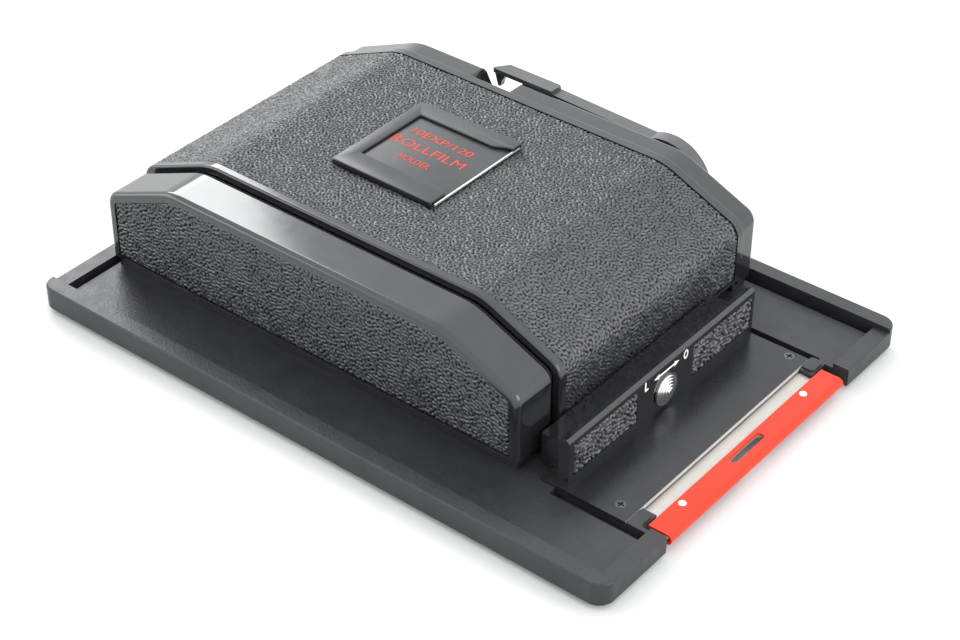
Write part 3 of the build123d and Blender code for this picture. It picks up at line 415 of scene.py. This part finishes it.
def latch_leather(name, node, low_y, high_y, seed):
    """Small inlay in the front of the latch housing."""
    low, high = LATCH_INLAY_HEIGHTS
    Y, H = np.meshgrid(np.linspace(low_y, high_y, int((high_y - low_y) / LATCH_MESH) + 1),
                       np.linspace(low, high, int((high - low) / LATCH_MESH) + 1),
                       indexing="ij")
    border = np.minimum.reduce([Y - low_y, high_y - Y, H - low, high - H])
    shift = 40
    relief = Grain(seed, wavelength=1.15, size=(80.0, 20.0), bias=0.3).at(Y + shift, H)
    sunk, relief_height = 0.12, 0.36
    depth = sunk - relief_height * relief
    points = np.stack([LATCH_FACE_X - depth - edge_drop(border, depth=0.4), Y, H + RIB], axis=-1)
    piece(name, points.reshape(-1, 3), grid_faces(*Y.shape), "holder", "leatherette",
          replaces=(node,), grain=relief)


for end, (low_y, high_y, seed) in LATCH_INLAYS.items():
    latch_leather(f"latch_leather_{end}_grain", f"latch_leather_{end}", low_y, high_y, seed)


# ---------------------------------------------------------------- memo clip and markings

def slab(outline, low, high, edge, lift=None, steps=4):
    """Points and faces of a flat piece with its upper edge rounded; edge is that rounding."""
    outline = np.asarray(outline, float)
    ahead = np.roll(outline, -1, axis=0) - outline
    ahead /= np.linalg.norm(ahead, axis=1)[:, None]
    behind = np.roll(ahead, 1, axis=0)
    inward = np.stack([-(ahead + behind)[:, 1], (ahead + behind)[:, 0]], axis=1)
    inward /= np.maximum((inward ** 2).sum(axis=1) / 2, 0.4)[:, None]
    rings = [(0.0, low)]
    for k in range(steps + 1):
        angle = pi / 2 * k / steps
        rings.append((edge * (1 - cos(angle)), high - edge * (1 - sin(angle))))
    points = []
    for inset, height in rings:
        ring = outline + inward * inset
        top = height + (lift(ring) if lift and height > low else 0)
        points.append(np.column_stack([ring, np.broadcast_to(top, len(ring))]))
    count = len(outline)
    faces = [(r * count + i, r * count + (i + 1) % count, (r + 1) * count + (i + 1) % count,
              (r + 1) * count + i) for r in range(len(rings) - 1) for i in range(count)]
    faces.append(tuple(range((len(rings) - 1) * count, len(rings) * count)))
    faces.append(tuple(reversed(range(count))))
    return np.concatenate(points), faces


def join(parts):
    """Several (points, faces) as one."""
    points, faces, start = [], [], 0
    for some, shapes in parts:
        points.append(some)
        faces += [tuple(start + i for i in face) for face in shapes]
        start += len(some)
    return np.concatenate(points), faces


def far_flap_lift(ring):
    """The far flap flares a little where the card goes in."""
    share = np.clip((ring[:, 0] + 11) / 6.5, 0, 1) * np.clip((ring[:, 1] - 19) / 3, 0, 1)
    return 0.35 * share ** 2


def memo_clip():
    """Tray folded over the card on three sides, open towards +X."""
    base = LEATHER_TOP + RIB
    near_y, far_y, low_x = CLIP_NEAR_Y, CLIP_FAR_Y, CLIP_LOW_X
    folded = rounded(
        [(low_x, near_y), (-5.3, near_y), (-5.3, -1.2), (-6.6, -0.1), (-32.4, -0.1),
         (-32.4, 22.2), (-9.5, 22.2), (-6.5, 23.6), (-4.5, 23.9), (-4.5, far_y), (low_x, far_y)],
        [0.7, 0.8, 0.6, 0.8, 0.35, 0.35, 3.0, 1.5, 0.4, 0.9, 1.4], step=0.15)
    tray = rounded([(low_x, near_y), (-5.0, near_y), (-5.0, far_y), (low_x, far_y)],
                   [0.7, 0.5, 0.5, 1.4], step=0.15)
    walls = []
    for x0, y0, x1, y1 in ((low_x + 0.1, near_y, -5.2, near_y + CLIP_SHEET),
                           (low_x + 0.1, far_y - CLIP_SHEET, -4.9, far_y),
                           (low_x, near_y + 0.5, low_x + CLIP_SHEET, far_y - 0.5)):
        walls.append(slab([(x0, y0), (x1, y0), (x1, y1), (x0, y1)],
                          base + 0.1, base + 1.2, 0.02))
    points, faces = join([slab(folded, base + 1.0, base + 1.5, 0.3, far_flap_lift),
                          slab(tray, base, base + CARD_LOW, 0.08), *walls])
    piece("memo_clip_folded", points, faces, "cover", "clip_enamel", replaces=("memo_clip",))


def memo_card():
    """Card in the clip, with its pale cut edge at the open side."""
    base = LEATHER_TOP + RIB
    outline = rounded([(-35.6, -5.8), (-4.8, -5.8), (-4.8, 26.9), (-35.6, 26.9)], [0.4] * 4)
    points, faces = slab(outline, base + CARD_LOW, base + CARD_TOP, 0.06)
    piece("memo_card_sheet", points, faces, "memo_card", "card", replaces=("memo_card",))
    points, faces = slab([(-4.95, -5.6), (-4.66, -5.6), (-4.66, 26.7), (-4.95, 26.7)],
                         base + CARD_LOW + 0.02, base + CARD_TOP + 0.06, 0.05)
    piece("memo_card_edge", points, faces, "memo_card", "card", mat=CARD_EDGE)


memo_clip()
memo_card()


def lettering(name, words, centre, width, height, body, slot, mat, turn=None, weight=0.0):
    """Printed words as a thin mesh, stretched to a width and height in mm. turn's rows are the
    directions of reading, of the words' height and of their thickness; weight thickens strokes."""
    curve = bpy.data.curves.new(name, "FONT")
    curve.body = words
    curve.align_x, curve.align_y = "CENTER", "CENTER"
    curve.resolution_u = 3
    curve.extrude = 0.01  # any depth will do, as the mesh is stretched below
    curve.offset = weight
    loose = bpy.data.objects.new(name + "_outline", curve)
    bpy.context.scene.collection.objects.link(loose)
    bpy.context.view_layer.update()
    mesh = bpy.data.meshes.new_from_object(loose.evaluated_get(
        bpy.context.evaluated_depsgraph_get()))
    bpy.data.objects.remove(loose)
    points = np.array([v.co for v in mesh.vertices], float).reshape(-1, 3)
    faces = [tuple(p.vertices) for p in mesh.polygons]
    low, high = points.min(axis=0), points.max(axis=0)
    thickness = 0.02
    scale = np.array([width, height, thickness]) / (high - low)
    points = (points - (low + high) / 2) * scale
    if turn is not None:
        points = points @ np.array(turn, float)
    piece(name, points + np.array(centre, float), faces, body, slot, mat=mat, smooth=False)


words_at = LEATHER_TOP + RIB + CARD_TOP + 0.04
for row, (words, x, y, width, height) in enumerate((
        ("10EXP/120", -20.5, 16.4, 18.6, 2.5),
        ("ROLLFILM", -20.7, 11.1, 22.2, 3.1),
        ("HOLDER", -20.5, 5.6, 9.4, 2.2))):
    lettering(f"card_words_{row}", words, (x, y, words_at), width, height, "memo_card",
              "handle_enamel", RED_PAINT)


def panel_cut_edge():
    """Bare metal of the panel's sheared edge, beside the dark slide."""
    skin = 0.04
    outline = [(PANEL_END_X, PANEL_Y[0]), (PANEL_END_X + skin, PANEL_Y[0]),
               (PANEL_END_X + skin, PANEL_Y[1]), (PANEL_END_X, PANEL_Y[1])]
    points, faces = slab(outline, PANEL_HEIGHTS[0] + RIB, PANEL_HEIGHTS[1] + RIB, 0.005, steps=1)
    piece("panel_cut_edge", points, faces, "holder", "screw_steel", mat=BARE_METAL, smooth=False)


panel_cut_edge()

# latch marks on the housing's front: locked, open, and the way between them
UPRIGHT = [[0, 1, 0], [0, 0, 1], [1, 0, 0]]  # reads along +Y, stands along +Z, faces +X
for name, mark, y, drop, width in (("latch_mark_locked", "L", -7.9, 0.0, 1.4),
                                   ("latch_mark_open", "O", 7.6, 0.05, 1.8)):
    lettering(name, mark, (LATCH_FACE_X + 0.02, y, MARK_HEIGHT - drop + RIB), width, 2.6,
              "holder", "dial_plastic", WHITE_PAINT, UPRIGHT, weight=0.03)


def latch_arrow():
    """Arrow with a head at both ends, as (along, up) points, mirrored for the second half."""
    half = [(-4.95, 0), (-2.9, -0.75), (-3.1, -0.24), (3.1, -0.24), (2.9, -0.75)]
    outline = half + [(-along, -up) for along, up in half]
    points, faces = slab(outline, -0.01, 0.03, 0.005, steps=1)
    place = np.array([LATCH_FACE_X + 0.01, 0.0, MARK_HEIGHT - 0.13 + RIB])
    piece("latch_mark_arrow", points @ np.array(UPRIGHT, float) + place, faces, "holder",
          "dial_plastic", mat=WHITE_PAINT, smooth=False)


latch_arrow()

# ---------------------------------------------------------------- smooth shading, softened edges

SHARP_ANGLE = radians(35)
BEVEL_ANGLE = radians(40)
SEAM = 0.002


def smoothing():
    """Node group that joins a CAD mesh's seams and shades it smooth up to the sharp angle."""
    group = bpy.data.node_groups.new("smooth_by_angle", "GeometryNodeTree")
    group.interface.new_socket("Geometry", in_out="INPUT", socket_type="NodeSocketGeometry")
    group.interface.new_socket("Geometry", in_out="OUTPUT", socket_type="NodeSocketGeometry")
    nodes, links = group.nodes, group.links
    last = nodes.new("NodeGroupInput").outputs[0]
    for kind, attribute in (("GeometryNodeRemoveAttribute", "custom_normal"),
                            ("GeometryNodeRemoveAttribute", "sharp_edge"),
                            ("GeometryNodeMergeByDistance", None)):
        step = nodes.new(kind)
        if attribute:
            step.inputs["Name"].default_value = attribute
        else:
            step.inputs["Distance"].default_value = SEAM * MM
        links.new(last, step.inputs["Geometry"])
        last = step.outputs["Geometry"]
    angle = nodes.new("GeometryNodeInputMeshEdgeAngle").outputs["Unsigned Angle"]
    sharp = nodes.new("FunctionNodeCompare")
    sharp.operation = "GREATER_THAN"
    sharp.inputs["B"].default_value = SHARP_ANGLE
    links.new(angle, sharp.inputs["A"])
    for domain, smooth in (("FACE", True), ("EDGE", False)):
        shade = nodes.new("GeometryNodeSetShadeSmooth")
        shade.domain = domain
        shade.inputs["Shade Smooth"].default_value = smooth
        if domain == "EDGE":
            links.new(sharp.outputs["Result"], shade.inputs["Selection"])
        links.new(last, shade.inputs["Geometry"])
        last = shade.outputs["Geometry"]
    links.new(last, nodes.new("NodeGroupOutput").inputs[0])
    return group


SMOOTH = smoothing()
EDGES = {"base_plate": 0.25, "latch_housing": 0.3, "winding_lever": 0.3}  # bevel widths
for name, node in frame["nodes"].items():
    node.modifiers.new("smooth", "NODES").node_group = SMOOTH
    if name in EDGES:
        bevel = node.modifiers.new("edges", "BEVEL")
        bevel.width = EDGES[name] * MM
        bevel.segments = 3
        bevel.limit_method = "ANGLE"
        bevel.angle_limit = BEVEL_ANGLE
    weights = node.modifiers.new("weights", "WEIGHTED_NORMAL")
    weights.keep_sharp = name not in EDGES
    weights.weight = 60

# ---------------------------------------------------------------- studio and camera

scene = bpy.context.scene
reach, gap = 3, 0.0002
floor_mesh = bpy.data.meshes.new("studio_floor")
floor_mesh.from_pydata([(-reach, -reach, 0), (reach, -reach, 0), (reach, reach, 0),
                        (-reach, reach, 0)], [], [(0, 1, 2, 3)])
floor = bpy.data.objects.new("studio_floor", floor_mesh)
floor.location.z = -gap
scene.collection.objects.link(floor)
floor_mesh.materials.append(material("studio_white", (0.62, 0.62, 0.602), 0.8, spread=0.01,
                                     specular=0.2))

world = bpy.data.worlds.new("studio")
world.use_nodes = True
world.node_tree.nodes["Background"].inputs["Color"].default_value = (0.94, 0.97, 1.0, 1)
world.node_tree.nodes["Background"].inputs["Strength"].default_value = 1.75
scene.world = world


def softbox(name, place, width, depth, power):
    """Rectangular studio light looking at the holder."""
    light = bpy.data.lights.new(name, "AREA")
    light.shape = "RECTANGLE"
    light.size, light.size_y = width, depth
    light.energy = power
    obj = bpy.data.objects.new(name, light)
    obj.location = place
    obj.rotation_euler = (-Vector(place)).to_track_quat("-Z", "Y").to_euler()
    scene.collection.objects.link(obj)


softbox("key", (-1.04, 0.55, 0.76), 0.6, 0.6, 8.5)
softbox("side_fill", (-1.1, -0.7, 0.45), 1.0, 0.6, 4)
softbox("end_fill", (1.1, 0.1, 0.6), 0.9, 0.7, 7)

camera = bpy.data.cameras.new("camera")
camera.sensor_width = 36
camera.lens = 83.88
camera.clip_start, camera.clip_end = 0.01, 10
view = bpy.data.objects.new("camera", camera)
aim, distance = Vector((18.908, -18.013, 21.3)), 512.84
turned, raised, roll = radians(38.489), radians(36.789), radians(0.437)
away = Vector((cos(raised) * sin(turned), -cos(raised) * cos(turned), sin(raised)))
side = Vector((cos(turned), sin(turned), 0))
above = away.cross(side)
across_view = side * cos(roll) + above * sin(roll)
up_view = above * cos(roll) - side * sin(roll)
facing = Matrix((across_view, up_view, away)).transposed().to_4x4()
view.matrix_world = Matrix.Translation(aim * MM + away * distance * MM) @ facing
scene.collection.objects.link(view)
scene.camera = view
scene.view_settings.view_transform = "Standard"
